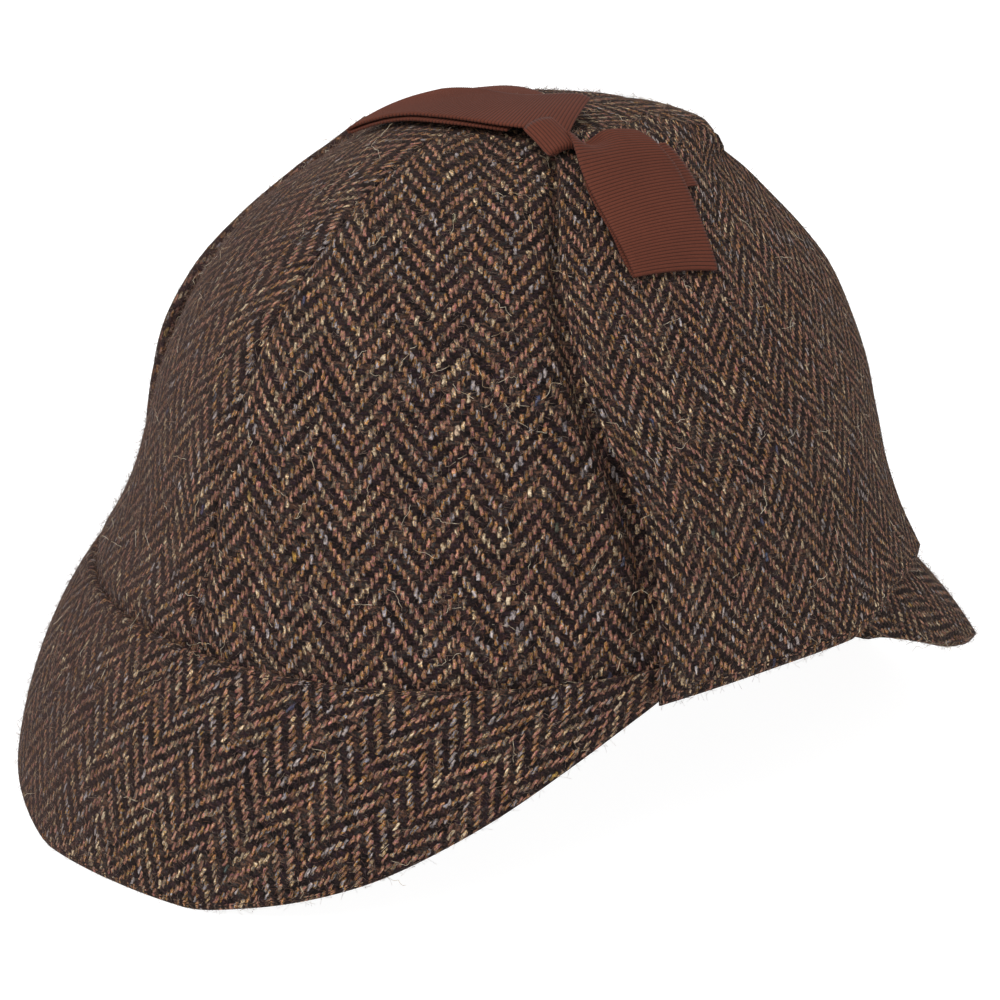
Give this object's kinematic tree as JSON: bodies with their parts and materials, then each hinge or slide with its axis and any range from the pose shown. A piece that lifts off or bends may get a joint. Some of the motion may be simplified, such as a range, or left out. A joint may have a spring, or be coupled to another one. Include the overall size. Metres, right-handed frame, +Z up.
{
  "type": "deerstalker hat",
  "caption": "Tweed deerstalker hat with a gored crown, a front and a back peak, and ear flaps turned up and tied over the top with a ribbon bow.",
  "frame": {"origin": "on the surface the hat rests on, under the middle of its length and width", "axes": "+Z up, the front peak points to -Y, the wearer's left ear is on +X"},
  "size_m": [0.1892, 0.2524, 0.1655],
  "materials": {
    "tweed": "brown wool tweed in a herringbone weave",
    "peak_tweed": "the same tweed over a stiffener",
    "grosgrain": "matt red-brown ribbed ribbon"
  },
  "bodies": {
    "root": {"crown_panel_front_left": "tweed", "crown_panel_front_right": "tweed", "crown_panel_back_left": "tweed", "crown_panel_back_right": "tweed", "front_peak": "peak_tweed", "back_peak": "peak_tweed", "ear_flap_left": "tweed", "ear_flap_right": "tweed", "ribbon_loop_far": "grosgrain", "ribbon_knot": "grosgrain", "ribbon_loop_near": "grosgrain", "ribbon_tail": "grosgrain", "ribbon_strap": "grosgrain"}
  },
  "joints": []
}
